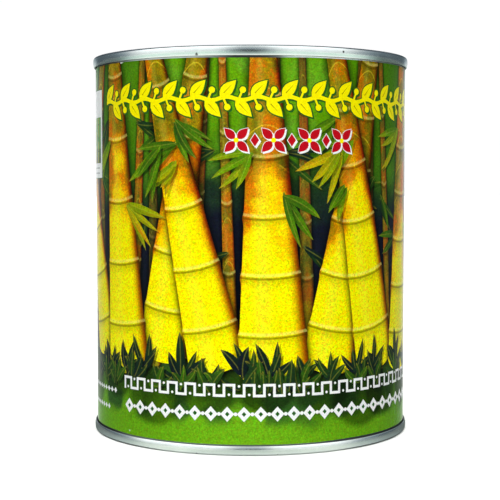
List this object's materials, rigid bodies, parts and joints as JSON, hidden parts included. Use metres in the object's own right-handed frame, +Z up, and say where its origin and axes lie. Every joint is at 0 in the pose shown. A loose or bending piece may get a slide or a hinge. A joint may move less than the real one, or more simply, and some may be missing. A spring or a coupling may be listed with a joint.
{
  "type": "tin can of bamboo shoots",
  "caption": "Sealed round tinplate food can with double-seamed beaded ends and a lapped paper label, packed with trimmed bamboo shoot tips; it stands on its bottom seam.",
  "frame": {"origin": "centre of the circle that the can stands on, at the lowest plane of the bottom seam", "axes": "+Z up the can's axis, from the bottom end to the top end; -Y is the front of the label and +Y its lapped seam"},
  "size_m": [0.1014, 0.1014, 0.119],
  "materials": {
    "tinplate_body": "bright tinplate, rolled finish",
    "tinplate_end": "bright tinplate, lightly scuffed on the seam",
    "seam_compound": "matt",
    "label_print": "four-colour print under gloss varnish",
    "shoot_flesh": "cooked vegetable flesh, moist"
  },
  "bodies": {
    "root": {"can_body": "tinplate_body", "top_end": "tinplate_end", "bottom_end": "tinplate_end", "top_seam_compound": "seam_compound", "bottom_seam_compound": "seam_compound", "paper_label": "label_print", "shoot_tip_01": "shoot_flesh", "shoot_tip_02": "shoot_flesh", "shoot_tip_03": "shoot_flesh", "shoot_tip_04": "shoot_flesh", "shoot_tip_05": "shoot_flesh", "shoot_tip_06": "shoot_flesh", "shoot_tip_07": "shoot_flesh", "shoot_tip_08": "shoot_flesh", "shoot_tip_09": "shoot_flesh", "shoot_tip_10": "shoot_flesh", "shoot_tip_11": "shoot_flesh", "shoot_tip_12": "shoot_flesh", "shoot_tip_13": "shoot_flesh", "shoot_tip_14": "shoot_flesh", "shoot_tip_15": "shoot_flesh", "shoot_tip_16": "shoot_flesh"}
  },
  "joints": []
}
